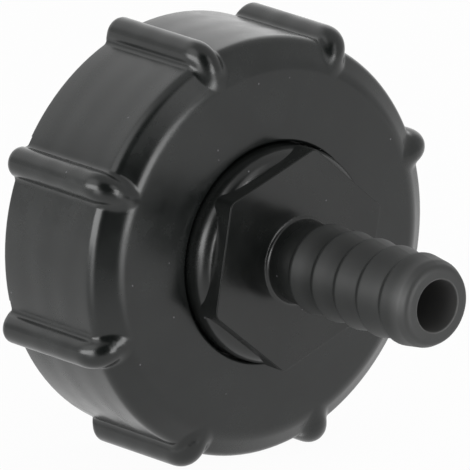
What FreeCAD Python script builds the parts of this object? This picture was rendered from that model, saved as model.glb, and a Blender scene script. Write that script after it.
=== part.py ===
import FreeCAD, Part
import math
import os

# Adapter that puts a hose tail on the coarse threaded outlet of a bulk liquid container.
# Millimetres. X is the common axis: the origin is the middle of the short plain wall in the nut's
# mouth and the hose tail points to +X. Z is up when the adapter lies on two of its ribs.

# Union nut, outside; the wall is measured at the mouth from the thread's root
NUT_LENGTH = 25.8
NUT_WALL = 5.2
NUT_DRAFT = 1.0
CROWN_HEIGHT = 0.8
BEVEL_WIDTH = 4.1
BEVEL_DEPTH = 2.6
RIM_ROUND = 0.6
SHOULDER_ROUND = 2.2
FACE_ROUND = 6.0

# Grip ribs
RIB_COUNT = 8
RIB_WIDTH = 5.0
RIB_HEIGHT = 3.2
RIB_DRAFT = 1.6
RIB_NOSE_BEVEL = 1.3
RIB_SETBACK = 0.1
RIB_TOE_SINK = 1.6
RIB_END_ROUND = 1.6
NICK_WIDTH = 2.0
NICK_DEPTH = 0.6

# Union nut, inside
END_WALL = 4.0
HOLE_DIAMETER = 36.6
HOLE_ROUND = 0.5
CAVITY_ROUND = 1.0
THREAD_DIAMETER = 60.4
THREAD_DEPTH = 2.3
THREAD_PITCH = 6.0
THREAD_CREST = 1.5
THREAD_LOAD_FLANK = 7.0
THREAD_LEAD_FLANK = 40.0
THREAD_RELIEF = 9.0
MOUTH_CHAMFER = 1.0
MOUTH_LENGTH = 2.0
MOUTH_RELIEF = 0.4

# Hose tail; the flange clears the thread's crest by its gap
FLANGE_GAP = 0.9
FLANGE_THICKNESS = 3.6
FLANGE_EDGE_ROUND = 0.4
SWIVEL_CLEARANCE = 0.3
COLLAR_PROUD = 3.9
COLLAR_EDGE_ROUND = 2.3
HEX_SEAT = 2.4
HEX_ACROSS_FLATS = 32.0
HEX_HEIGHT = 4.0
HEX_ANGLE = 23.1
HEX_CORNER_ROUND = 1.5
HEX_EDGE_ROUND = 0.2
STEM_DIAMETER = 13.8
STEM_FILLET = 0.7
BARB_COUNT = 5
BARB_PITCH = 5.4
BARB_DIAMETER = 15.1
BARB_VALLEY_DIAMETER = 13.4
BARB_START = 5.4
BARB_STEP = 0.9
BARB_VALLEY_ROUND = 0.8
BARB_EDGE_ROUND = 0.9
NOSE_LENGTH = 6.2
NOSE_TAPER_LENGTH = 4.6
NOSE_DIAMETER = 14.1
NOSE_END_DIAMETER = 12.4
NOSE_ROUND = 1.3
BORE_DIAMETER = 8.4
BORE_EDGE_ROUND = 0.2
CUP_WALL = 4.0

# Gasket; its edge reaches out behind the thread's crest, which holds it in
GASKET_REACH = 0.5
GASKET_WIDTH = 6.4
GASKET_THICKNESS = 2.6
GASKET_EDGE_ROUND = 0.3

ORIGIN = FreeCAD.Vector(0, 0, 0)
AXIS = FreeCAD.Vector(1, 0, 0)
FULL_TURN = 360.0
HEX_SIDES = 6
THREAD_SINK = 0.6

# Stations along the axis and radii
RIM_X = -MOUTH_LENGTH / 2 - MOUTH_CHAMFER
THREAD_START_X = MOUTH_LENGTH / 2 + MOUTH_RELIEF
FACE_X = RIM_X + NUT_LENGTH
THREAD_ROOT = THREAD_DIAMETER / 2
THREAD_CREST_RADIUS = THREAD_ROOT - THREAD_DEPTH
MOUTH_RADIUS = THREAD_ROOT + MOUTH_RELIEF
RIM_RADIUS = THREAD_ROOT + NUT_WALL
HOLE_RADIUS = HOLE_DIAMETER / 2
CROWN_X = FACE_X - CROWN_HEIGHT
SHOULDER_X = CROWN_X - BEVEL_DEPTH
SHOULDER_RADIUS = RIM_RADIUS - (SHOULDER_X - RIM_X) * math.tan(math.radians(NUT_DRAFT))
CEILING_X = FACE_X - END_WALL
THREAD_END_X = CEILING_X - THREAD_RELIEF
FLANGE_FRONT_X = CEILING_X - SWIVEL_CLEARANCE
FLANGE_BACK_X = FLANGE_FRONT_X - FLANGE_THICKNESS
FLANGE_RADIUS = THREAD_CREST_RADIUS - FLANGE_GAP
COLLAR_RADIUS = HOLE_RADIUS - SWIVEL_CLEARANCE
COLLAR_X = FACE_X + COLLAR_PROUD
HEX_SEAT_X = FACE_X + HEX_SEAT
HEX_X = HEX_SEAT_X + HEX_HEIGHT
FIRST_BARB_X = HEX_X + BARB_START
NOSE_X = FIRST_BARB_X + (BARB_COUNT - 1) * BARB_PITCH
TIP_X = NOSE_X + NOSE_LENGTH
BORE_RADIUS = BORE_DIAMETER / 2


def vector(x, r):
    """A point of an outline, given along the axis and out from it."""
    return FreeCAD.Vector(x, 0, r)


def rounded_outline(corners):
    """A closed wire through corners (x, r, rounding), each rounded by a tangent arc."""
    edges = []
    count = len(corners)
    starts = []
    ends = []
    middles = []
    for i in range(count):
        here = vector(*corners[i][:2])
        before = vector(*corners[i - 1][:2]) - here
        after = vector(*corners[(i + 1) % count][:2]) - here
        radius = corners[i][2]
        before.normalize()
        after.normalize()
        half = before.getAngle(after) / 2
        reach = radius / math.tan(half)
        starts.append(here + before * reach)
        ends.append(here + after * reach)
        towards = before + after
        if radius > 0:
            towards.normalize()
            middles.append(here + towards * (radius / math.sin(half) - radius))
        else:
            middles.append(None)
    for i in range(count):
        if middles[i] is not None:
            edges.append(Part.Arc(starts[i], middles[i], ends[i]).toShape())
        following = starts[(i + 1) % count]
        edges.append(Part.LineSegment(ends[i], following).toShape())
    return Part.Wire(edges)


def turned(corners):
    """The solid of revolution of an outline about the common axis."""
    return Part.Face(rounded_outline(corners)).revolve(ORIGIN, AXIS, FULL_TURN)


def bar(x_from, x_to, radius):
    """A cylinder about the common axis."""
    return Part.makeCylinder(radius, x_to - x_from, FreeCAD.Vector(x_from, 0, 0), AXIS)


def nut_shell():
    """Round wall, bevelled shoulder and slightly crowned end wall, hollow from the mouth."""
    return turned([
        (RIM_X, MOUTH_RADIUS + MOUTH_CHAMFER, 0),
        (RIM_X, RIM_RADIUS, RIM_ROUND),
        (SHOULDER_X, SHOULDER_RADIUS, SHOULDER_ROUND),
        (CROWN_X, SHOULDER_RADIUS - BEVEL_WIDTH, FACE_ROUND),
        (FACE_X, HOLE_RADIUS, HOLE_ROUND),
        (CEILING_X, HOLE_RADIUS, HOLE_ROUND),
        (CEILING_X, THREAD_ROOT, CAVITY_ROUND),
        (THREAD_START_X, THREAD_ROOT, 0),
        (THREAD_START_X - MOUTH_RELIEF, MOUTH_RADIUS, 0),
        (RIM_X + MOUTH_CHAMFER, MOUTH_RADIUS, 0),
    ])


def thread_ridge():
    """The helical ridge of the internal buttress thread, faded out by a cone at each end."""
    load = math.tan(math.radians(THREAD_LOAD_FLANK))
    lead = math.tan(math.radians(THREAD_LEAD_FLANK))
    foot = THREAD_ROOT + THREAD_SINK
    height = foot - THREAD_CREST_RADIUS
    start = THREAD_START_X - THREAD_PITCH
    length = THREAD_END_X - start + THREAD_PITCH
    helix = Part.makeHelix(THREAD_PITCH, length, THREAD_CREST_RADIUS)
    section = Part.makePolygon([
        FreeCAD.Vector(THREAD_CREST_RADIUS, 0, -THREAD_CREST / 2),
        FreeCAD.Vector(foot, 0, -THREAD_CREST / 2 - height * lead),
        FreeCAD.Vector(foot, 0, THREAD_CREST / 2 + height * load),
        FreeCAD.Vector(THREAD_CREST_RADIUS, 0, THREAD_CREST / 2),
        FreeCAD.Vector(THREAD_CREST_RADIUS, 0, -THREAD_CREST / 2),
    ])
    ridge = Part.Wire(helix.Edges).makePipeShell([section], True, True)
    ridge.rotate(ORIGIN, FreeCAD.Vector(0, 1, 0), FULL_TURN / 4)
    ridge.translate(FreeCAD.Vector(start, 0, 0))
    outside = foot + THREAD_SINK
    inside = THREAD_ROOT - height
    room = turned([
        (THREAD_START_X, outside, 0),
        (THREAD_END_X, outside, 0),
        (THREAD_END_X, THREAD_ROOT, 0),
        (THREAD_END_X - height, inside, 0),
        (THREAD_START_X + height, inside, 0),
        (THREAD_START_X, THREAD_ROOT, 0),
    ])
    return ridge.common(room)


def rod(start, end, radius):
    """A cylinder between two points with a ball at its far end."""
    body = Part.makeCylinder(radius, start.distanceToPoint(end), start, end - start)
    return body.fuse(Part.makeSphere(radius, end))


def rib():
    """One grip rib at the top: half-round crest that bends down over the shoulder in two steps."""
    radius = RIB_WIDTH / 2
    centre = RIM_RADIUS + RIB_HEIGHT - radius
    foot = MOUTH_RADIUS + MOUTH_CHAMFER + RIM_ROUND
    slope = math.tan(math.radians(RIB_DRAFT))
    leg_x = CROWN_X - RIB_SETBACK - radius
    bend_x = leg_x - RIB_NOSE_BEVEL
    back = vector(RIM_X - radius, centre + radius * slope)
    bend = vector(bend_x, centre - (bend_x - RIM_X) * slope)
    knee = vector(leg_x, bend.z - RIB_NOSE_BEVEL)
    toe = vector(leg_x, SHOULDER_RADIUS - BEVEL_WIDTH - RIB_TOE_SINK)
    heel = vector(back.x, foot)
    web = Part.Face(Part.makePolygon([back, bend, knee, vector(leg_x, foot), heel, back]))
    web.translate(FreeCAD.Vector(0, radius, 0))
    web = web.extrude(FreeCAD.Vector(0, -RIB_WIDTH, 0))
    leg = Part.makeCylinder(radius, knee.z - toe.z, toe)
    raw = web.multiFuse([rod(back, bend, radius), rod(bend, knee, radius), leg])
    room = Part.makeBox(NUT_LENGTH, RIB_WIDTH, RIM_RADIUS, FreeCAD.Vector(RIM_X, -radius, foot))
    front = Part.makeBox(RIB_WIDTH, RIB_WIDTH, RIM_RADIUS, FreeCAD.Vector(leg_x, -radius, toe.z))
    raw = raw.common(room.fuse(front)).removeSplitter()
    rear = [e for e in raw.Edges if max(v.X for v in e.Vertexes) < RIM_X + RIB_END_ROUND
            and max(v.Z for v in e.Vertexes) > RIM_RADIUS]
    return raw.makeFillet(RIB_END_ROUND, rear)


def nick():
    """The room of the small notch in the mouth rim beside the top rib."""
    corner = FreeCAD.Vector(RIM_X - NICK_DEPTH, RIB_WIDTH / 2, THREAD_ROOT)
    return Part.makeBox(NICK_DEPTH * 2, NICK_WIDTH, RIM_RADIUS, corner)


def union_nut():
    nut = nut_shell()
    step = FULL_TURN / RIB_COUNT
    for i in range(RIB_COUNT):
        one = rib()
        one.rotate(ORIGIN, AXIS, (i + 0.5) * step)
        nut = nut.fuse(one)
    for i in range(RIB_COUNT):
        notch = nick()
        notch.rotate(ORIGIN, AXIS, (i + 0.5) * step)
        nut = nut.cut(notch)
    nut = nut.fuse(thread_ridge())
    return nut.removeSplitter()


def tail_outline():
    """Half section of the hose tail with a round core instead of its hexagon."""
    barb = BARB_DIAMETER / 2
    valley = BARB_VALLEY_DIAMETER / 2
    stem = STEM_DIAMETER / 2
    core = HEX_ACROSS_FLATS / 3
    cup = COLLAR_RADIUS - CUP_WALL
    corners = [
        (FLANGE_BACK_X, cup, 0),
        (FLANGE_BACK_X, FLANGE_RADIUS, FLANGE_EDGE_ROUND),
        (FLANGE_FRONT_X, FLANGE_RADIUS, FLANGE_EDGE_ROUND),
        (FLANGE_FRONT_X, COLLAR_RADIUS, 0),
        (COLLAR_X, COLLAR_RADIUS, COLLAR_EDGE_ROUND),
        (COLLAR_X, core, 0),
        (HEX_X, core, 0),
        (HEX_X, stem, STEM_FILLET),
    ]
    for i in range(BARB_COUNT):
        x = FIRST_BARB_X + i * BARB_PITCH
        corners.append((x, valley, BARB_VALLEY_ROUND))
        corners.append((x + BARB_STEP, barb, BARB_EDGE_ROUND))
    corners.append((NOSE_X + NOSE_TAPER_LENGTH, NOSE_DIAMETER / 2, NOSE_ROUND))
    corners.append((TIP_X, NOSE_END_DIAMETER / 2, NOSE_ROUND))
    corners.append((TIP_X, BORE_RADIUS, BORE_EDGE_ROUND))
    corners.append((HEX_X - CUP_WALL, BORE_RADIUS, 0))
    corners.append((COLLAR_X - CUP_WALL, cup, 0))
    return corners


def hexagon():
    """The spanner hexagon that stands out of the domed collar, open at the core."""
    corner = HEX_ACROSS_FLATS / 2 / math.cos(math.pi / HEX_SIDES)
    points = []
    for i in range(HEX_SIDES + 1):
        angle = math.radians(HEX_ANGLE + i * FULL_TURN / HEX_SIDES)
        points.append(FreeCAD.Vector(HEX_SEAT_X, corner * math.cos(angle), corner * math.sin(angle)))
    prism = Part.Face(Part.makePolygon(points)).extrude(FreeCAD.Vector(HEX_HEIGHT, 0, 0))
    upright = [e for e in prism.Edges if abs(e.Vertexes[0].X - e.Vertexes[1].X) > HEX_HEIGHT / 2]
    prism = prism.makeFillet(HEX_CORNER_ROUND, upright)
    front = [e for e in prism.Edges if min(v.X for v in e.Vertexes) > HEX_X - HEX_HEIGHT / 2]
    prism = prism.makeFillet(HEX_EDGE_ROUND, front)
    return prism.cut(bar(HEX_SEAT_X - HEX_HEIGHT, HEX_X + HEX_HEIGHT, STEM_DIAMETER / 2))


def hose_tail():
    return turned(tail_outline()).fuse(hexagon()).removeSplitter()


def gasket():
    """Flat rubber ring against the back of the flange."""
    back = FLANGE_BACK_X - GASKET_THICKNESS
    outer = THREAD_CREST_RADIUS + GASKET_REACH
    inner = outer - GASKET_WIDTH
    return turned([
        (back, inner, GASKET_EDGE_ROUND),
        (back, outer, GASKET_EDGE_ROUND),
        (FLANGE_BACK_X, outer, GASKET_EDGE_ROUND),
        (FLANGE_BACK_X, inner, GASKET_EDGE_ROUND),
    ])


def main():
    os.makedirs("parts", exist_ok=True)
    pieces = {"union_nut": union_nut(), "hose_tail": hose_tail(), "gasket": gasket()}
    for name, shape in pieces.items():
        print(name, "valid", shape.isValid(), "solids", len(shape.Solids), "volume", round(shape.Volume, 1))
        shape.exportStep("parts/" + name + ".step")


main()
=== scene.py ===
import math

import bpy
from bpy.props import FloatProperty, FloatVectorProperty, IntProperty, PointerProperty
from mathutils import Matrix, Vector


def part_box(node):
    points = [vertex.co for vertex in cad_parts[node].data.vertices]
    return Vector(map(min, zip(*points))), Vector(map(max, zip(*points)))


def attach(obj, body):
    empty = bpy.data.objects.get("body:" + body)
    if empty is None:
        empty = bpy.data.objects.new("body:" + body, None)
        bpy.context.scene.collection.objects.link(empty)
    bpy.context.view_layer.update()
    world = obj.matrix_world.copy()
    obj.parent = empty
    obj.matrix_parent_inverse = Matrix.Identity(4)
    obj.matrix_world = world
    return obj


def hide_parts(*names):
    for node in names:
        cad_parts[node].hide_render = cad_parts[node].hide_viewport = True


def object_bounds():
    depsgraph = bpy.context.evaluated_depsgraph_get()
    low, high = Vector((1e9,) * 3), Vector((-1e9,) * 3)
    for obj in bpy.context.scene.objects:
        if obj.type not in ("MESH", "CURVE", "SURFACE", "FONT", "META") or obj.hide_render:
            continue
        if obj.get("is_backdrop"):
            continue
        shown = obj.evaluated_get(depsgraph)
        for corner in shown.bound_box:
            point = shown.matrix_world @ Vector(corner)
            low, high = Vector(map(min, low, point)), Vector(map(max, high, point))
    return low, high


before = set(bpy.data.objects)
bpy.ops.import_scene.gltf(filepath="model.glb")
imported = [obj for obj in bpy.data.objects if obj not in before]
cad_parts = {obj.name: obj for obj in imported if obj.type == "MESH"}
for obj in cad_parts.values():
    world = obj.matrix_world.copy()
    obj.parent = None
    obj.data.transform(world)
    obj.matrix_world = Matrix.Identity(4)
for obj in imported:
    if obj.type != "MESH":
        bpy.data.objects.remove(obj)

bl_info = {
    "name": "Hose tail adapter",
    "version": (1, 0, 0),
    "blender": (4, 5, 0),
    "location": "3D View > Sidebar > Adapter",
    "description": "Finishes and studio for a ribbed union nut with a swivelling hose tail",
    "category": "Object",
}

MM = 0.001
WHITE = (1.0, 1.0, 1.0, 1.0)

# Union nut's half section: x along the axis from the mouth's rim to the front face, r out from it
RIM_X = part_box("union_nut")[0][0]
FACE_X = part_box("union_nut")[1][0]
RIM_RADIUS = 35.4 * MM
RIM_ROUND = 0.6 * MM
SHOULDER = (FACE_X - 3.4 * MM, 35.0 * MM)
SHOULDER_ROUND = 2.2 * MM
CROWN = (FACE_X - 0.8 * MM, 30.9 * MM)
CROWN_ROUND = 4.5 * MM
CEILING_X = FACE_X - 4.0 * MM
HOLE_RADIUS = 18.3 * MM
HOLE_ROUND = 0.5 * MM
CAVITY_ROUND = 1.0 * MM
MOUTH_RADIUS = 30.6 * MM
MOUTH_STEP = 0.4 * MM
MOUTH_CHAMFER = 1.0 * MM
# Fewest steps round a rounding
ARC_STEPS = 8

# Internal thread
THREAD_ROOT = 30.2 * MM
THREAD_START_X = 1.4 * MM
THREAD_END_X = CEILING_X - 9.0 * MM
LOAD_FLANK = math.tan(math.radians(7))
LEAD_FLANK = math.tan(math.radians(40))
# Pitches by which the thread's helix starts before, and ends after, what shows of the thread
THREAD_EARLY = 0.2
THREAD_LATE = 0.45
# Share of the thread's depth that its section reaches into the wall
THREAD_SINK = 0.2
# What lies beyond an end of the thread keeps this share of its length, this deep in the wall
END_SHARE = 0.05
END_SINK = 0.3 * MM
# Steps of the helix in one turn
HELIX_STEPS = 120

# Grip ribs
RIB_DRAFT = math.tan(math.radians(1.6))
RIB_SETBACK = 0.1 * MM
RIB_END_ROUND = 1.6 * MM
# The nose bends in one soft curve, from this far before its corner to this far past it
NOSE_BEFORE = 2.5 * MM
NOSE_PAST = 3.0 * MM
NOSE_STEPS = 8
# The rim's edge gets the rib's rounding over this height above the wall
RIM_BLEND = 2 * MM
RIM_STEPS = 8
# Notch in the rim beside each rib
NICK_WIDTH = 2.0 * MM
NICK_DEPTH = 0.6 * MM

# Hollow between rib and shell: where it is looked for, in half-widths of a rib from the rib's
# middle and down to a radius on the face, and how it shrinks towards the middle of the face
HOLLOW_REACH = 2.2
HOLLOW_RADIUS = HOLE_RADIUS + 8 * MM
HOLLOW_LEAST = 0.2
HOLLOW_FADE_RADIUS = 29.5 * MM
HOLLOW_FADE_WIDTH = 3 * MM
# A point of the surface is found when a step is this short, or after this many steps
SEARCH_END = 0.0005 * MM
SEARCH_STEPS = 60
# Points of neighbouring sectors that are this close become one
JOIN_WITHIN = 0.001 * MM
# Edges bent by more than this stay sharp
SHARP_ANGLE = math.radians(40)

# Distances of the section's copies from a rib's middle, closest where the rib's side is steep
COLUMNS = [mm * MM for mm in (
    0, 0.3, 0.6, 0.9, 1.15, 1.38, 1.58, 1.75, 1.9, 2.03, 2.14, 2.23, 2.3, 2.36, 2.41, 2.45, 2.49,
    2.53, 2.58, 2.64, 2.72, 2.82, 2.94, 3.08, 3.24, 3.45, 3.8, 4.48, 4.52, 5.5, 6.8, 8.3, 10, 12)]

# The hexagon's corners stand farther from the axis than this, which nothing in front of it does
CORNER_RADIUS = 17.3 * MM

# Plastic and rubber: index of refraction, and Blender's plain specular level
INDEX = 1.5
SPECULAR = 0.5
# Noise rarely leaves this range, which is carried over to the ranges after it
NOISE_RANGE = (0.3, 0.7)
TINT_RANGE = (0.75, 1.3)
GLOSS_RANGE = (-0.06, 0.07)
# Fine grain: how much it changes the roughness, and its depth
FINE_GLOSS = 0.02
GRAIN_DEPTH = 0.0022 * MM
# How strong the sink bands are beside the rest of the unevenness
SINK_SHARE = 0.5
# Dust specks: cells of a grid, the speck's radius as a share of a cell, and cells without one
SPECK_GRID = 3.4 * MM
SPECK_RADIUS = 0.045
SPECK_FREE = 0.55
# Rubber: lumps of its pale bloom to the metre, and what they and the grain change
RUBBER_BLOOM_SCALE = 140.0
RUBBER_BLOOM_RANGE = (0.35, 0.7)
RUBBER_TINT_RANGE = (0.8, 1.5)
RUBBER_GLOSS = 0.1
RUBBER_GRAIN_DEPTH = 0.03 * MM

# Painted shade and painted sheen on the hose tail, as specular levels and the places on it,
# measured from the axis or along it from the start of the barbs: lower levels darken the
# valleys, most near the hexagon, and hide the highlight on the edge of the hexagon's front;
# a higher level brightens the tip
STEM_FADE = 2 * MM
VALLEY_SPECULAR = (0.18, 0.46)
VALLEY_LENGTH = 22 * MM
CREST_SPECULAR = 0.42
CREST_RADII = (6.75 * MM, 7.25 * MM)
TIP_SPECULAR = 0.9
TIP_SHARE = 0.7
TIP_FROM = 25.5 * MM
TIP_TO = 28 * MM
# Painted shade over the highlight on the edge of the hexagon's front
EDGE_SPECULAR = 0.2
EDGE_RADIUS = 15 * MM
EDGE_BACK = 0.11 * MM
EDGE_HALF = 0.105 * MM
# Radii inside which the colour is lightened: painted light for the light that reaches into the bore
BORE_RADII = (4.3 * MM, 4.5 * MM)

# The camera stands off from the centre of the nut's front hole and looks a little beside it
HOLE_CENTRE = Vector((23.8 * MM, 0, 0))
AIM_LEFT = 6.34 * MM
AIM_UP = 2.84 * MM
SENSOR_WIDTH = 36

# Softboxes: side and height in degrees to the line from the adapter to the camera, then reach,
# width and height in metres, and the radiance of the mirror image and of the even light
SOFTBOXES = (
    ("Softbox left", -54, 2, 1.2, 1.2, 0.62, 5.0, 1.8),
    ("Softbox right", 43, -3, 0.32, 0.11, 0.17, 5.0, 1.6),
    ("Softbox top", 116, 51, 1.2, 0.75, 0.75, 0, 1.7),
)

# Floor: half its side, the paper's fibres, and the share of it that shows as plain white
FLOOR_HALF = 3.0
FIBRE_SCALE = 400.0
FIBRE_RANGE = (0.99, 1.01)
FLOOR_GLOW = 0.965
# What the plastic mirrors of the floor: its plain level, and sectors given by their direction
# from the camera's side, inner and outer half-width in degrees, and how much brighter or darker
FLOOR_LEVEL = 1.0
FLOOR_SECTORS = (
    (8, 12, 24, -0.8),
    (38, 4, 12, 2.2),
    (-31, 5, 14, 2.0),
)
# The sectors start clear of the adapter, where its own shadow ends
SECTOR_FADE = (70 * MM, 230 * MM)

# What the plastic mirrors besides the lamps: the tent's plain level, and patches on it given by
# side, height, inner and outer radius in degrees, and how much brighter or darker they are
TENT_LEVEL = 0.72
TENT_PATCHES = (
    (10, 12, 18, 42, -0.72),
    (-52, 32, 10, 34, 1.1),
    (42, 22, 4, 17, 1.2),
    (172, 36, 14, 36, 0.65),
    (-122, 46, 12, 34, 0.55),
)


def srgb(code):
    """Linear colour of an sRGB hex code."""
    parts = [int(code[i:i + 2], 16) / 255 for i in (1, 3, 5)]
    return tuple(c / 12.92 if c <= 0.04045 else ((c + 0.055) / 1.055) ** 2.4 for c in parts)


class NutSettings(bpy.types.PropertyGroup):
    """Sizes of the union nut's ribs and thread."""
    rib_count: IntProperty(
        name="Ribs", description="How many grip ribs stand round the nut", min=3, max=12, default=8)
    rib_width: FloatProperty(
        name="Rib width", description="Width of a grip rib", unit="LENGTH", default=5.0 * MM)
    rib_height: FloatProperty(
        name="Rib height", description="How far a rib stands out of the wall at the mouth",
        unit="LENGTH", default=3.2 * MM)
    root_round: FloatProperty(
        name="Rib root rounding", description="Radius of the hollow where a rib meets the wall",
        unit="LENGTH", min=0.05 * MM, default=0.8 * MM)
    thread_pitch: FloatProperty(
        name="Thread pitch", description="Distance from turn to turn of the internal thread",
        unit="LENGTH", default=6.0 * MM)
    thread_depth: FloatProperty(
        name="Thread depth", description="Height of the internal thread", unit="LENGTH",
        default=2.3 * MM)
    thread_crest: FloatProperty(
        name="Thread crest", description="Width of the thread's flat crest", unit="LENGTH",
        default=1.5 * MM)


class PlasticSettings(bpy.types.PropertyGroup):
    """Finish of the two moulded pieces."""
    nut_colour: FloatVectorProperty(
        name="Nut colour", description="Colour of the union nut's black polypropylene",
        subtype="COLOR", size=3, min=0, max=1, default=srgb("#1B1E1D"))
    tail_colour: FloatVectorProperty(
        name="Tail colour", description="Colour of the hose tail's black polypropylene",
        subtype="COLOR", size=3, min=0, max=1, default=srgb("#1C1E1D"))
    # Painted light: a lighter colour inside the bore stands in for the light that reaches into it
    bore_light_colour: FloatVectorProperty(
        name="Bore colour", description="Colour of the dusty skin inside the bore",
        subtype="COLOR", size=3, min=0, max=1, default=srgb("#565655"))
    speck_colour: FloatVectorProperty(
        name="Speck colour", description="Colour of the few dust specks on the plastic",
        subtype="COLOR", size=3, min=0, max=1, default=srgb("#77767A"))
    nut_roughness: FloatProperty(
        name="Nut roughness", description="Roughness of the nut's satin moulded surface",
        subtype="FACTOR", min=0, max=1, default=0.24)
    barb_roughness: FloatProperty(
        name="Barb roughness",
        description="Roughness of the barbed stem, which is duller than the rest",
        subtype="FACTOR", min=0, max=1, default=0.55)
    barb_start: FloatProperty(
        name="Start of the barbs", description="Where the duller barbed stem starts on the axis",
        unit="LENGTH", default=34 * MM)
    grain: FloatProperty(
        name="Grain", description="Width of the fine grain that the mould leaves",
        unit="LENGTH", min=0.1 * MM, default=0.5 * MM)
    sink_spacing: FloatProperty(
        name="Sink spacing",
        description="Distance between the faint sink bands over the thread's turns",
        unit="LENGTH", min=1 * MM, default=6 * MM)
    sink_depth: FloatProperty(
        name="Sink depth", description="Depth of the sink bands and of the surface's unevenness",
        unit="LENGTH", min=0, default=0.07 * MM)
    smudge: FloatProperty(
        name="Smudge", description="Width of the soft patches where the gloss changes",
        unit="LENGTH", min=1 * MM, default=9 * MM)


class RubberSettings(bpy.types.PropertyGroup):
    """Finish of the sealing ring."""
    colour: FloatVectorProperty(
        name="Rubber colour", description="Colour of the sealing rubber",
        subtype="COLOR", size=3, min=0, max=1, default=srgb("#242424"))
    roughness: FloatProperty(
        name="Rubber roughness", description="Roughness of the dull rubber",
        subtype="FACTOR", min=0, max=1, default=0.72)
    grain: FloatProperty(
        name="Rubber grain", description="Width of the rubber's pressed grain",
        unit="LENGTH", min=0.1 * MM, default=0.6 * MM)


class StudioSettings(bpy.types.PropertyGroup):
    """Camera, lamps and floor."""
    azimuth: FloatProperty(
        name="Azimuth", description="Turn of the camera round the upright axis",
        subtype="ANGLE", default=math.radians(50.10))
    elevation: FloatProperty(
        name="Elevation", description="Height angle of the camera",
        subtype="ANGLE", default=math.radians(15.91))
    spin: FloatProperty(
        name="Spin", description="Turn of the camera's frame about the adapter's own axis",
        subtype="ANGLE", default=math.radians(3.3))
    distance: FloatProperty(
        name="Distance", description="Camera's distance from the nut's front hole",
        unit="LENGTH", default=732 * MM)
    lens: FloatProperty(
        name="Lens", description="Focal length for a sensor 36 mm wide", default=346.2)
    floor_colour: FloatVectorProperty(
        name="Floor colour", description="Colour of the pale floor",
        subtype="COLOR", size=3, min=0, max=1, default=srgb("#EFEFEF"))
    ambient: FloatProperty(
        name="Ambient", description="Strength of the even light from all round", default=0.45)


def node(tree, kind, settings=None, inputs=None):
    """Adds a node, sets its options, and gives each input a value or another node's output."""
    made = tree.nodes.new(kind)
    for name, value in (settings or {}).items():
        setattr(made, name, value)
    for name, value in (inputs or {}).items():
        if isinstance(value, bpy.types.NodeSocket):
            tree.links.new(value, made.inputs[name])
        else:
            made.inputs[name].default_value = value
    return made


def calculator(tree):
    """A function that adds a math node for an operation on some values and gives its output."""
    def maths(operation, *values):
        return node(tree, "ShaderNodeMath", {"operation": operation},
                    dict(enumerate(values))).outputs[0]
    return maths


def remap(tree, value, low, high, new_low=0.0, new_high=1.0, soft=False):
    """Carries the range from low to high over to new_low to new_high, which it never leaves."""
    return node(tree, "ShaderNodeMapRange", {"interpolation_type": "SMOOTHSTEP"} if soft else None,
                {"Value": value, "From Min": low, "From Max": high,
                 "To Min": new_low, "To Max": new_high}).outputs["Result"]


def mixed(tree, factor, first, second, **options):
    """First at factor 0, second at 1: two values, or two colours if the options say so."""
    return node(tree, "ShaderNodeMix", options,
                {"Factor": factor, "A": first, "B": second}).outputs["Result"]


def tinted(tree, colour, tint):
    """A colour times a tint about 1."""
    return mixed(tree, 1.0, (*colour, 1.0), tint, data_type="RGBA", blend_type="MULTIPLY")


def noise(tree, place, scale, detail, roughness=0.5):
    """Noise from 0 to 1 with scale lumps to the metre."""
    return node(tree, "ShaderNodeTexNoise", None,
                {"Vector": place, "Scale": scale, "Detail": detail,
                 "Roughness": roughness}).outputs["Fac"]


def bump(tree, height, distance, extra=None):
    """Normal of a skin that rises by distance where height is 1."""
    return node(tree, "ShaderNodeBump", None,
                {"Height": height, "Distance": distance, "Strength": 1.0,
                 **(extra or {})}).outputs["Normal"]


def blank_material(name):
    """A material with a bare output, and its node tree."""
    material = bpy.data.materials.new(name)
    material.use_nodes = True
    material.node_tree.nodes.clear()
    return material, material.node_tree


def finish(tree, colour, roughness, normal, specular=SPECULAR):
    """Ends a plastic's or rubber's node tree."""
    shader = node(tree, "ShaderNodeBsdfPrincipled", None,
                  {"Base Color": colour, "Roughness": roughness, "Normal": normal,
                   "IOR": INDEX, "Specular IOR Level": specular})
    node(tree, "ShaderNodeOutputMaterial", None, {"Surface": shader.outputs["BSDF"]})


def tail_specular(tree, x, radius, stem, start, edge_x):
    """Specular level of the hose tail, which is plain in front of the stem.

    Painted shade: a lower level darkens the valleys between the barbs, most near the
    hexagon, and hides the highlight on the edge of the hexagon's front at edge_x. Painted
    sheen: a higher level brightens the tip.
    """
    maths = calculator(tree)
    # Painted shade in the valleys, deepest near the hexagon, and painted sheen on the tip
    valley = remap(tree, x, start, start + VALLEY_LENGTH, *VALLEY_SPECULAR)
    crest = remap(tree, radius, *CREST_RADII, valley, CREST_SPECULAR, soft=True)
    tip = remap(tree, x, start + TIP_FROM, start + TIP_TO, 0.0, TIP_SHARE, soft=True)
    barbs = mixed(tree, tip, crest, TIP_SPECULAR)
    level = mixed(tree, stem, SPECULAR, barbs)
    # Painted shade over the highlight on the edge of the hexagon's front
    near_edge = maths("COMPARE", x, edge_x - EDGE_BACK, EDGE_HALF)
    outside = maths("GREATER_THAN", radius, EDGE_RADIUS)
    return mixed(tree, maths("MULTIPLY", near_edge, outside), level, EDGE_SPECULAR)


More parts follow.
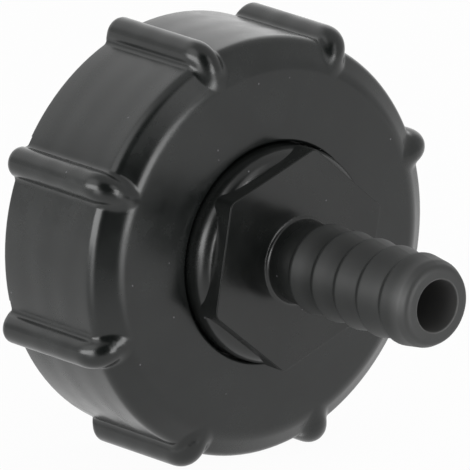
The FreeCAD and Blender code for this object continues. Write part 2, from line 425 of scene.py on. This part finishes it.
def moulded_plastic(name, colour, settings, sunk_wall=False, hex_front_x=None):
    """Injection-moulded black polypropylene with a spark-eroded satin skin.

    It gives the eye a near-black body, soft mirror images of what stands close, and broad
    pale bands along every rounded edge. Handling leaves patches of other gloss and a few
    specks of dust. With sunk_wall it has sink bands, and with hex_front_x, the x of the
    hexagon's front, it has the hose tail's dull stem, painted shade and painted sheen on the
    tail, and a painted lighter bore that stands in for light reaching into it.
    """
    material, tree = blank_material(name)
    maths = calculator(tree)
    place = node(tree, "ShaderNodeTexCoord").outputs["Object"]
    x = node(tree, "ShaderNodeSeparateXYZ", None, {"Vector": place}).outputs["X"]
    grain = noise(tree, place, 1 / settings.grain, detail=3.0, roughness=0.6)
    smudge = noise(tree, place, 1 / settings.smudge, detail=4.0, roughness=0.65)

    # Dust specks, of which only those show whose place in their cell lies in the skin
    cells = node(tree, "ShaderNodeTexVoronoi", {"feature": "F1"},
                 {"Vector": place, "Scale": 1 / SPECK_GRID, "Randomness": 1.0})
    chance = node(tree, "ShaderNodeSeparateColor", None, {"Color": cells.outputs["Color"]})
    dust = maths("MULTIPLY", maths("LESS_THAN", cells.outputs["Distance"], SPECK_RADIUS),
                 maths("GREATER_THAN", chance.outputs["Red"], SPECK_FREE))
    body = tinted(tree, colour, remap(tree, smudge, *NOISE_RANGE, *TINT_RANGE))
    skin_colour = mixed(tree, dust, body, (*settings.speck_colour, 1.0), data_type="RGBA")

    gloss = remap(tree, smudge, *NOISE_RANGE,
                  *(settings.nut_roughness + change for change in GLOSS_RANGE))
    specular = SPECULAR
    # Hose tail: duller stem, painted shade and sheen in the specular level, and a painted lighter
    # bore
    if hex_front_x is not None:
        start = settings.barb_start
        stem = remap(tree, x, start - STEM_FADE, start + STEM_FADE)
        gloss = remap(tree, stem, 0.0, 1.0, gloss, settings.barb_roughness)
        across = node(tree, "ShaderNodeVectorMath", {"operation": "MULTIPLY"},
                      {0: place, 1: (0.0, 1.0, 1.0)})
        radius = node(tree, "ShaderNodeVectorMath", {"operation": "LENGTH"},
                      {0: across.outputs["Vector"]}).outputs["Value"]
        specular = tail_specular(tree, x, radius, stem, start, hex_front_x)
        # Painted light: the bore's lighter colour stands in for light reaching into it
        bore = remap(tree, radius, *BORE_RADII, 1.0, 0.0)
        skin_colour = mixed(tree, bore, skin_colour, (*settings.bore_light_colour, 1.0),
                            data_type="RGBA")
    rough = maths("ADD", gloss, remap(tree, grain, 0.0, 1.0, -FINE_GLOSS, FINE_GLOSS))

    # The wall sank a little over each turn of the thread as it cooled, and is nowhere quite even
    swell = noise(tree, place, 1 / settings.smudge, detail=0.0)
    bands = maths("SINE", maths("MULTIPLY", x, math.tau / settings.sink_spacing))
    uneven = maths("MULTIPLY_ADD", maths("MULTIPLY", bands, swell),
                   SINK_SHARE if sunk_wall else 0.0, swell)
    cooled = bump(tree, uneven, settings.sink_depth)
    skin = bump(tree, grain, GRAIN_DEPTH, {"Normal": cooled})
    finish(tree, skin_colour, rough, skin, specular)
    return material


def sealing_rubber(name, settings):
    """Pressed EPDM rubber, dull and slightly uneven, which swallows nearly all light."""
    material, tree = blank_material(name)
    place = node(tree, "ShaderNodeTexCoord").outputs["Object"]
    grain = noise(tree, place, 1 / settings.grain, detail=5.0, roughness=0.7)
    bloom = noise(tree, place, RUBBER_BLOOM_SCALE, detail=3.0)
    body = tinted(tree, settings.colour,
                  remap(tree, bloom, *RUBBER_BLOOM_RANGE, *RUBBER_TINT_RANGE))
    rough = remap(tree, grain, 0.0, 1.0, settings.roughness - RUBBER_GLOSS,
                  settings.roughness + RUBBER_GLOSS)
    finish(tree, body, rough, bump(tree, grain, RUBBER_GRAIN_DEPTH))
    return material


def dress(name, material):
    """Gives a CAD piece its material."""
    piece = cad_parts[name]
    for slot in piece.material_slots:
        slot.material = material
    if not piece.material_slots:
        piece.data.materials.append(material)


def smooth_step(value):
    """Rises softly from 0 to 1 with value."""
    value = min(max(value, 0.0), 1.0)
    return value * value * (3 - 2 * value)


def nut_section():
    """Rows (x, r, normal x, normal r) of the nut's half section, from its wall to its mouth."""
    # Each corner's x and r, its rounding, and the spacing of the rows up to it and round it
    corners = [
        (RIM_X + RIB_END_ROUND, RIM_RADIUS, 0, 0),
        (*SHOULDER, SHOULDER_ROUND, 0.6 * MM),
        (*CROWN, CROWN_ROUND, 0.22 * MM),
        (FACE_X, HOLE_RADIUS, HOLE_ROUND, 1.6 * MM),
        (CEILING_X, HOLE_RADIUS, HOLE_ROUND, 4 * MM),
        (CEILING_X, THREAD_ROOT, CAVITY_ROUND, 4 * MM),
        (THREAD_START_X, THREAD_ROOT, 0, 4 * MM),
        (THREAD_START_X - MOUTH_STEP, MOUTH_RADIUS, 0, 1 * MM),
        (RIM_X + MOUTH_CHAMFER, MOUTH_RADIUS, 0, 2 * MM),
        (RIM_X, MOUTH_RADIUS + MOUTH_CHAMFER, 0, 2 * MM),
    ]
    rows = []
    last = Vector(corners[0][:2])
    for i in range(1, len(corners)):
        here = Vector(corners[i][:2])
        radius, spacing = corners[i][2:]
        before = (Vector(corners[i - 1][:2]) - here).normalized()
        start = end = here
        if radius > 0:
            after = (Vector(corners[i + 1][:2]) - here).normalized()
            half = before.angle(after) / 2
            start = here + before * radius / math.tan(half)
            end = here + after * radius / math.tan(half)
        run = start - last
        steps = max(1, round(run.length / spacing))
        normal = Vector((-run.y, run.x)).normalized()
        for k in range(1 if rows else 0, steps + 1):
            rows.append((*(last + run * k / steps), *normal))
        if radius > 0:
            centre = here + (before + after).normalized() * radius / math.sin(half)
            turn = (start - centre).angle_signed(end - centre)
            steps = max(ARC_STEPS, round(abs(turn) * radius / spacing))
            for k in range(1, steps + 1):
                spoke = Matrix.Rotation(-turn * k / steps, 2) @ (start - centre)
                rows.append((*(centre + spoke), *spoke.normalized()))
        last = end
    return rows


def rib_spine(nut):
    """Points (x, z) along the middle of the top rib, from behind the rim round its nose."""
    radius = nut.rib_width / 2
    crest = RIM_RADIUS + nut.rib_height - radius
    leg_x = CROWN[0] - RIB_SETBACK - radius
    corner = Vector((leg_x, crest - (leg_x - RIM_X) * RIB_DRAFT))
    start = corner + Vector((-1, RIB_DRAFT)) * NOSE_BEFORE
    end = corner - Vector((0, 1)) * NOSE_PAST
    spine = [(RIM_X - radius, crest + radius * RIB_DRAFT)]
    for k in range(NOSE_STEPS + 1):
        share = k / NOSE_STEPS
        spine.append(tuple(start.lerp(corner, share).lerp(corner.lerp(end, share), share)))
    spine.append((leg_x, 0))
    return spine


def rib_gap(spine, radius, x, y, z):
    """Distance of a point from the rib round the spine, solid below it; negative inside."""
    inside = True
    nearest = math.inf
    for (ax, az), (bx, bz) in zip(spine, spine[1:]):
        dx, dz = bx - ax, bz - az
        if dx * (z - az) - dz * (x - ax) > 0:
            inside = False
        share = ((x - ax) * dx + (z - az) * dz) / (dx * dx + dz * dz)
        share = min(max(share, 0.0), 1.0)
        nearest = min(nearest, math.hypot(x - ax - share * dx, z - az - share * dz))
    return math.hypot(0.0 if inside else nearest, y) - radius


def met_surface(row, angle, spine, nut):
    """Where a row's normal, at an angle to the rib's middle, meets the shell, rib or hollow."""
    x, r, nx, nr = row
    fade = smooth_step((r - HOLLOW_FADE_RADIUS) / HOLLOW_FADE_WIDTH)
    hollow = nut.root_round * (HOLLOW_LEAST + (1 - HOLLOW_LEAST) * fade)
    out = 2 * nut.rib_height
    for _ in range(SEARCH_STEPS):
        away = r + nr * out
        side = rib_gap(spine, nut.rib_width / 2, x + nx * out,
                       away * math.sin(angle), away * math.cos(angle))
        gap = (max(min(out, side), hollow)
               - math.hypot(max(hollow - out, 0), max(hollow - side, 0)))
        out -= gap
        if abs(gap) < SEARCH_END:
            break
    return x + nx * out, r + nr * out


def nut_sector(nut):
    """Mesh of the nut's share round the top rib, rounded where the rib melts into the shell.

    Each point starts outside a row of the section and comes in along the row's normal until it
    meets the shell or the rib, or the hollow between the two.
    """
    radius = nut.rib_width / 2
    spine = rib_spine(nut)
    half = math.pi / nut.rib_count
    angles = [d / RIM_RADIUS for d in COLUMNS if d / RIM_RADIUS < half] + [half]
    angles = [-a for a in reversed(angles[1:])] + angles
    section = nut_section()
    last_outer = max(i for i, (x, r, nx, nr) in enumerate(section)
                     if nr > 0 and r > HOLLOW_RADIUS and x > SHOULDER[0])
    columns = []
    for angle in angles:
        column = []
        for i, row in enumerate(section):
            if i <= last_outer and abs(angle) * row[1] < radius * HOLLOW_REACH:
                column.append(met_surface(row, angle, spine, nut))
            else:
                column.append(row[:2])
        top = column[0][1]
        rounding = RIM_ROUND + (RIB_END_ROUND - RIM_ROUND) * smooth_step(
            (top - RIM_RADIUS) / RIM_BLEND)
        rim = []
        for k in range(RIM_STEPS + 1):
            turn = math.pi / 2 * k / RIM_STEPS
            rim.append((RIM_X + rounding * (1 - math.sin(turn)),
                        top - rounding * (1 - math.cos(turn))))
        column = list(reversed(rim)) + column
        if radius < angle * RIM_RADIUS < radius + NICK_WIDTH:
            column = [(max(x, RIM_X + NICK_DEPTH), r) for x, r in column]
        columns.append([(x, r * math.sin(angle), r * math.cos(angle)) for x, r in column])
    tall = len(columns[0])
    faces = []
    for j in range(len(columns) - 1):
        for i in range(tall):
            after = (i + 1) % tall
            faces.append((j * tall + i, j * tall + after,
                          (j + 1) * tall + after, (j + 1) * tall + i))
    mesh = bpy.data.meshes.new("Nut sector")
    mesh.from_pydata([point for column in columns for point in column], [], faces)
    return mesh


def thread_profile(tree, given):
    """Curve round the thread's buttress section, with x out into the wall and y along the axis."""
    maths = calculator(tree)
    crest = maths("MULTIPLY", given["Crest"], 0.5)
    inward = maths("MULTIPLY", given["Depth"], -1.0)
    sink = maths("MULTIPLY", given["Depth"], THREAD_SINK)
    corners = []
    for side, flank in ((1, "Lead flank"), (-1, "Load flank")):
        top = maths("MULTIPLY", crest, side)
        slant = maths("MULTIPLY", given[flank], maths("SUBTRACT", sink, inward))
        corners.append((inward, top))
        corners.append((sink, maths("ADD", top, maths("MULTIPLY", slant, side))))
    profile = node(tree, "GeometryNodeCurvePrimitiveQuadrilateral", {"mode": "POINTS"})
    # This order round the section makes the swept faces look outward
    for number, corner in enumerate((0, 2, 3, 1), 1):
        out, along = corners[corner]
        spot = node(tree, "ShaderNodeCombineXYZ", None, {"X": out, "Y": along})
        tree.links.new(spot.outputs[0], profile.inputs["Point %d" % number])
    return profile.outputs[0]


def thread_ridge(tree, given):
    """The thread's section swept on its right-hand helix, laid along x in its place."""
    maths = calculator(tree)
    early = maths("MULTIPLY", given["Pitch"], THREAD_EARLY)
    late = maths("MULTIPLY", given["Pitch"], THREAD_LATE)
    span = maths("SUBTRACT", given["Thread end"], given["Thread start"])
    length = maths("ADD", span, maths("ADD", early, late))
    helix = node(tree, "GeometryNodeCurveSpiral", None,
                 {"Resolution": HELIX_STEPS,
                  "Rotations": maths("DIVIDE", length, given["Pitch"]),
                  "Start Radius": given["Root radius"], "End Radius": given["Root radius"],
                  "Height": length, "Reverse": True})
    upright = node(tree, "GeometryNodeSetCurveNormal", {"mode": "Z_UP"},
                   {"Curve": helix.outputs[0]})
    ridge = node(tree, "GeometryNodeCurveToMesh", None,
                 {"Curve": upright.outputs[0], "Profile Curve": thread_profile(tree, given),
                  "Fill Caps": True})
    back = node(tree, "FunctionNodeEulerToRotation", None,
                {"Euler": (0.0, 0.0, math.tau * (1 - THREAD_EARLY))})
    clocked = node(tree, "GeometryNodeTransform", None,
                   {"Geometry": ridge.outputs[0], "Rotation": back.outputs[0]})
    shift = node(tree, "ShaderNodeCombineXYZ", None,
                 {"X": maths("SUBTRACT", given["Thread start"], early)})
    quarter = node(tree, "FunctionNodeEulerToRotation", None,
                   {"Euler": (0.0, math.pi / 2, 0.0)})
    return node(tree, "GeometryNodeTransform", None,
                {"Geometry": clocked.outputs[0], "Translation": shift.outputs[0],
                 "Rotation": quarter.outputs[0]}).outputs[0]


def thread_faded(tree, given, ridge):
    """The ridge faded out by a 45 degree cone at each end.

    What lies beyond an end is drawn up to it and into the wall.
    """
    maths = calculator(tree)
    spot = node(tree, "ShaderNodeSeparateXYZ", None,
                {"Vector": node(tree, "GeometryNodeInputPosition").outputs[0]})
    x, y, z = (spot.outputs[axis] for axis in "XYZ")
    kept = maths("MINIMUM", maths("MAXIMUM", x, given["Thread start"]), given["Thread end"])
    along = maths("ADD", kept, maths("MULTIPLY", maths("SUBTRACT", x, kept), END_SHARE))
    within = maths("MINIMUM", maths("SUBTRACT", x, given["Thread start"]),
                   maths("SUBTRACT", given["Thread end"], x))
    beyond = maths("MULTIPLY", maths("LESS_THAN", within, 0.0), END_SINK)
    cone = maths("ADD", maths("SUBTRACT", given["Root radius"], maths("MAXIMUM", within, 0.0)),
                 beyond)
    radius = maths("SQRT", maths("ADD", maths("POWER", y, 2.0), maths("POWER", z, 2.0)))
    stretch = maths("DIVIDE", maths("MAXIMUM", radius, cone), radius)
    faded = node(tree, "ShaderNodeCombineXYZ", None,
                 {"X": along, "Y": maths("MULTIPLY", y, stretch),
                  "Z": maths("MULTIPLY", z, stretch)})
    return node(tree, "GeometryNodeSetPosition", None,
                {"Geometry": ridge, "Position": faded.outputs[0]}).outputs[0]


def nut_tree():
    """Geometry nodes that repeat the sector round the axis and lay the thread along its helix.

    Returns the tree and the identifiers of its inputs by name.
    """
    tree = bpy.data.node_groups.new("Ribbed nut", "GeometryNodeTree")
    kinds = {"Sector": "Geometry", "Ribs": "Int", "Join within": "Float", "Pitch": "Float",
             "Thread start": "Float", "Thread end": "Float", "Root radius": "Float",
             "Depth": "Float", "Crest": "Float", "Load flank": "Float", "Lead flank": "Float",
             "Material": "Material"}
    keys = {name: tree.interface.new_socket(name=name, in_out="INPUT",
                                            socket_type="NodeSocket" + kind).identifier
            for name, kind in kinds.items()}
    tree.interface.new_socket(name="Nut", in_out="OUTPUT", socket_type="NodeSocketGeometry")
    given = node(tree, "NodeGroupInput").outputs
    maths = calculator(tree)

    # The ribs stand half a step off the top, so that the adapter can rest on two of them
    step = maths("DIVIDE", math.tau, given["Ribs"])
    number = node(tree, "GeometryNodeInputIndex").outputs[0]
    turn = maths("MULTIPLY", step, maths("ADD", number, 0.5))
    euler = node(tree, "ShaderNodeCombineXYZ", None, {"X": turn})
    rotation = node(tree, "FunctionNodeEulerToRotation", None, {"Euler": euler.outputs[0]})
    places = node(tree, "GeometryNodePoints", None, {"Count": given["Ribs"]})
    ring = node(tree, "GeometryNodeInstanceOnPoints", None,
                {"Points": places.outputs[0], "Instance": given["Sector"],
                 "Rotation": rotation.outputs[0]})
    real = node(tree, "GeometryNodeRealizeInstances", None, {"Geometry": ring.outputs[0]})
    shell = node(tree, "GeometryNodeMergeByDistance", None,
                 {"Geometry": real.outputs[0], "Distance": given["Join within"]})
    thread = thread_faded(tree, given, thread_ridge(tree, given))
    both = node(tree, "GeometryNodeJoinGeometry")
    tree.links.new(shell.outputs[0], both.inputs[0])
    tree.links.new(thread, both.inputs[0])
    smooth = node(tree, "GeometryNodeSetShadeSmooth", None, {"Geometry": both.outputs[0]})
    coated = node(tree, "GeometryNodeSetMaterial", None,
                  {"Geometry": smooth.outputs[0], "Material": given["Material"]})
    out = node(tree, "NodeGroupOutput")
    tree.links.new(coated.outputs[0], out.inputs[0])
    return tree, keys


def settled(piece):
    """Turns a piece's modifiers into its plain mesh."""
    seen = piece.evaluated_get(bpy.context.evaluated_depsgraph_get())
    mesh = bpy.data.meshes.new_from_object(seen)
    piece.modifiers.clear()
    piece.data = mesh
    mesh.set_sharp_from_angle(angle=SHARP_ANGLE)


def view_axes(studio):
    """Right, up and back of the camera's frame, for the adapter resting on two ribs."""
    spin = Matrix.Rotation(studio.spin, 3, "X")
    a, e = studio.azimuth, studio.elevation
    back = spin @ Vector((math.sin(a) * math.cos(e), -math.cos(a) * math.cos(e), math.sin(e)))
    right = spin @ Vector((math.cos(a), math.sin(a), 0))
    return right, back.cross(right), back


def face_along(position, back, up):
    """World matrix of an object at position whose local Z is back and whose Y is near up."""
    back = back.normalized()
    right = up.cross(back).normalized()
    turn = Matrix((right, back.cross(right), back)).transposed()
    return Matrix.Translation(position) @ turn.to_4x4()


def towards(axes, side, height):
    """Direction at side and height, in degrees, to the line from the adapter to the camera."""
    right, up, back = axes
    side, height = math.radians(side), math.radians(height)
    return (right * math.sin(side) * math.cos(height) + up * math.sin(height)
            + back * math.cos(side) * math.cos(height))


def softbox(name, axes, side, height, reach, width, tall, mirrored, even):
    """A rectangular lamp at a place given as in SOFTBOXES.

    Its mirror image in the plastic has one radiance. What it sheds as even light has another, so
    that colours stay about as written.
    """
    up = axes[1]
    direction = towards(axes, side, height)
    for part, radiance in (("mirrored", mirrored), ("even", even)):
        if radiance == 0:
            continue
        data = bpy.data.lights.new(name + ", " + part, "AREA")
        data.shape = "RECTANGLE"
        data.size = width
        data.size_y = tall
        data.energy = radiance * math.pi * width * tall
        lamp = bpy.data.objects.new(data.name, data)
        bpy.context.scene.collection.objects.link(lamp)
        lamp.visible_camera = False
        lamp.visible_diffuse = part == "even"
        lamp.visible_glossy = part == "mirrored"
        lamp.visible_transmission = part == "mirrored"
        lamp.matrix_world = face_along(HOLE_CENTRE + direction * reach, direction, up)


def patched(tree, direction, level, patches):
    """Level plus the gain of each patch (centre, inner and outer radius in degrees, gain)."""
    maths = calculator(tree)
    for centre, inner, outer, gain in patches:
        near = node(tree, "ShaderNodeVectorMath", {"operation": "DOT_PRODUCT"},
                    {0: direction, 1: tuple(centre)})
        patch = remap(tree, near.outputs["Value"], math.cos(math.radians(outer)),
                      math.cos(math.radians(inner)), 0.0, gain, soft=True)
        level = maths("ADD", level, patch)
    return maths("MAXIMUM", level, 0.0)


def make_floor(studio, axes):
    """Plain pale floor under the adapter, which keeps its shadow but shows nearly white."""
    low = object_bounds()[0][2]
    mesh = bpy.data.meshes.new("Floor")
    mesh.from_pydata([(x * FLOOR_HALF, y * FLOOR_HALF, low)
                      for x, y in ((-1, -1), (1, -1), (1, 1), (-1, 1))], [], [(0, 1, 2, 3)])
    floor = bpy.data.objects.new("Floor", mesh)
    bpy.context.scene.collection.objects.link(floor)
    material, tree = blank_material("Paper sweep, matt")
    maths = calculator(tree)
    place = node(tree, "ShaderNodeTexCoord").outputs["Object"]
    fibre = noise(tree, place, FIBRE_SCALE, detail=4.0)
    colour = tinted(tree, studio.floor_colour, remap(tree, fibre, 0.0, 1.0, *FIBRE_RANGE))
    paper = node(tree, "ShaderNodeBsdfDiffuse", None, {"Color": colour})

    front = Vector((axes[2].x, axes[2].y, 0)).normalized()
    sectors = [(Matrix.Rotation(math.radians(side), 3, "Z") @ front, inner, outer, gain)
               for side, inner, outer, gain in FLOOR_SECTORS]
    flat = node(tree, "ShaderNodeVectorMath", {"operation": "MULTIPLY"},
                {0: place, 1: (1.0, 1.0, 0.0)}).outputs["Vector"]
    outward = node(tree, "ShaderNodeVectorMath", {"operation": "NORMALIZE"}, {0: flat})
    reach = node(tree, "ShaderNodeVectorMath", {"operation": "LENGTH"}, {0: flat})
    clear = remap(tree, reach.outputs["Value"], *SECTOR_FADE, soft=True)
    level = mixed(tree, clear, FLOOR_LEVEL,
                  patched(tree, outward.outputs["Vector"], FLOOR_LEVEL, sectors))
    rays = node(tree, "ShaderNodeLightPath").outputs
    glow = node(tree, "ShaderNodeEmission", None,
                {"Color": WHITE, "Strength": mixed(tree, rays["Is Glossy Ray"], 1.0, level)})
    mirrored = maths("MAXIMUM", rays["Is Glossy Ray"], rays["Is Transmission Ray"])
    shown = maths("MAXIMUM", rays["Is Camera Ray"], mirrored)
    both = node(tree, "ShaderNodeMixShader", None,
                {0: maths("MULTIPLY", shown, FLOOR_GLOW), 1: paper.outputs["BSDF"],
                 2: glow.outputs["Emission"]})
    node(tree, "ShaderNodeOutputMaterial", None, {"Surface": both.outputs["Shader"]})
    mesh.materials.append(material)
    floor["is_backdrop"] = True


def make_surroundings(scene, studio, axes):
    """White surroundings for the camera and for reflections, darker where the camera stands."""
    world = bpy.data.worlds.new("White tent")
    world.use_nodes = True
    scene.world = world
    tree = world.node_tree
    tree.nodes.clear()
    maths = calculator(tree)
    rays = node(tree, "ShaderNodeLightPath").outputs
    direction = node(tree, "ShaderNodeTexCoord").outputs["Generated"]
    tent = patched(tree, direction, TENT_LEVEL,
                   [(towards(axes, side, height), inner, outer, gain)
                    for side, height, inner, outer, gain in TENT_PATCHES])
    even, mirrored, seen = (
        node(tree, "ShaderNodeBackground", None, {"Color": WHITE, "Strength": strength}).outputs[0]
        for strength in (studio.ambient, tent, 1.0))
    glossy = node(tree, "ShaderNodeMixShader", None,
                  {0: rays["Is Glossy Ray"], 1: even, 2: mirrored})
    direct = maths("MAXIMUM", rays["Is Camera Ray"], rays["Is Transmission Ray"])
    final = node(tree, "ShaderNodeMixShader", None, {0: direct, 1: glossy.outputs[0], 2: seen})
    node(tree, "ShaderNodeOutputWorld", None, {"Surface": final.outputs[0]})


def make_camera(scene, studio, axes):
    """Camera at the photographed angle, aimed so that the whole adapter fills the frame."""
    right, up, back = axes
    position = HOLE_CENTRE + back * studio.distance
    aim = HOLE_CENTRE - right * AIM_LEFT + up * AIM_UP
    data = bpy.data.cameras.new("Camera")
    data.sensor_width = SENSOR_WIDTH
    data.lens = studio.lens
    camera = bpy.data.objects.new("Camera", data)
    scene.collection.objects.link(camera)
    camera.matrix_world = face_along(position, position - aim, up)
    scene.camera = camera


class ADAPTER_OT_union_nut(bpy.types.Operator):
    """Finish the ribbed union nut"""
    bl_idname = "adapter.union_nut"
    bl_label = "Union nut"

    def execute(self, context):
        nut = context.scene.adapter_nut
        plastic = context.scene.adapter_plastic
        material = moulded_plastic("Polypropylene, moulded satin", plastic.nut_colour, plastic,
                                   sunk_wall=True)
        dress("union_nut", material)
        piece = bpy.data.objects.new("ribbed_nut", nut_sector(nut))
        context.scene.collection.objects.link(piece)
        tree, keys = nut_tree()
        repeat = piece.modifiers.new("Ribbed nut", "NODES")
        repeat.node_group = tree
        values = {"Ribs": nut.rib_count, "Join within": JOIN_WITHIN, "Pitch": nut.thread_pitch,
                  "Thread start": THREAD_START_X, "Thread end": THREAD_END_X,
                  "Root radius": THREAD_ROOT,
                  "Depth": nut.thread_depth, "Crest": nut.thread_crest,
                  "Load flank": LOAD_FLANK, "Lead flank": LEAD_FLANK, "Material": material}
        for name, value in values.items():
            repeat[keys[name]] = value
        settled(piece)
        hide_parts("union_nut")
        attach(piece, "nut")
        return {"FINISHED"}


class ADAPTER_OT_hose_tail(bpy.types.Operator):
    """Finish the barbed hose tail"""
    bl_idname = "adapter.hose_tail"
    bl_label = "Hose tail"

    def execute(self, context):
        plastic = context.scene.adapter_plastic
        front = max(v.co.x for v in bpy.data.objects["hose_tail"].data.vertices
                    if math.hypot(v.co.y, v.co.z) > CORNER_RADIUS)
        # The tail's material carries painted shade and sheen in its specular level, and a painted
        # lighter bore
        dress("hose_tail", moulded_plastic("Polypropylene, moulded satin with a dull stem",
                                           plastic.tail_colour, plastic, hex_front_x=front))
        return {"FINISHED"}


class ADAPTER_OT_gasket(bpy.types.Operator):
    """Finish the sealing ring"""
    bl_idname = "adapter.gasket"
    bl_label = "Gasket"

    def execute(self, context):
        dress("gasket", sealing_rubber("Sealing rubber, pressed", context.scene.adapter_rubber))
        return {"FINISHED"}


class ADAPTER_OT_stage(bpy.types.Operator):
    """Make the floor, the lamps, the surroundings and the camera"""
    bl_idname = "adapter.stage"
    bl_label = "Stage"

    def execute(self, context):
        scene = context.scene
        studio = scene.adapter_studio
        axes = view_axes(studio)
        make_floor(studio, axes)
        for name, *numbers in SOFTBOXES:
            softbox(name, axes, *numbers)
        make_surroundings(scene, studio, axes)
        make_camera(scene, studio, axes)
        scene.view_settings.view_transform = "Standard"
        return {"FINISHED"}


class ADAPTER_PT_panel(bpy.types.Panel):
    """Sidebar panel that lists the adapter's pieces and its stage"""
    bl_idname = "ADAPTER_PT_panel"
    bl_label = "Hose tail adapter"
    bl_space_type = "VIEW_3D"
    bl_region_type = "UI"
    bl_category = "Adapter"

    def draw(self, context):
        scene = context.scene
        for settings, operator in ((scene.adapter_nut, ADAPTER_OT_union_nut),
                                   (scene.adapter_plastic, ADAPTER_OT_hose_tail),
                                   (scene.adapter_rubber, ADAPTER_OT_gasket),
                                   (scene.adapter_studio, ADAPTER_OT_stage)):
            box = self.layout.box()
            for name in settings.bl_rna.properties.keys():
                if name not in ("rna_type", "name"):
                    box.prop(settings, name)
            box.operator(operator.bl_idname)


CLASSES = (NutSettings, PlasticSettings, RubberSettings, StudioSettings, ADAPTER_OT_union_nut,
           ADAPTER_OT_hose_tail, ADAPTER_OT_gasket, ADAPTER_OT_stage, ADAPTER_PT_panel)


def register():
    for cls in CLASSES:
        bpy.utils.register_class(cls)
    bpy.types.Scene.adapter_nut = PointerProperty(type=NutSettings)
    bpy.types.Scene.adapter_plastic = PointerProperty(type=PlasticSettings)
    bpy.types.Scene.adapter_rubber = PointerProperty(type=RubberSettings)
    bpy.types.Scene.adapter_studio = PointerProperty(type=StudioSettings)


def unregister():
    del bpy.types.Scene.adapter_studio
    del bpy.types.Scene.adapter_rubber
    del bpy.types.Scene.adapter_plastic
    del bpy.types.Scene.adapter_nut
    for cls in reversed(CLASSES):
        bpy.utils.unregister_class(cls)


def clear_startup():
    """Removes what an unused Blender scene holds, so that only the adapter is left."""
    for name in ("Cube", "Light", "Camera"):
        if name in bpy.data.objects:
            bpy.data.objects.remove(bpy.data.objects[name])


def main():
    clear_startup()
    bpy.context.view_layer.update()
    register()
    bpy.ops.adapter.union_nut()
    bpy.ops.adapter.hose_tail()
    bpy.ops.adapter.gasket()
    bpy.ops.adapter.stage()


if __name__ == "__main__":
    main()
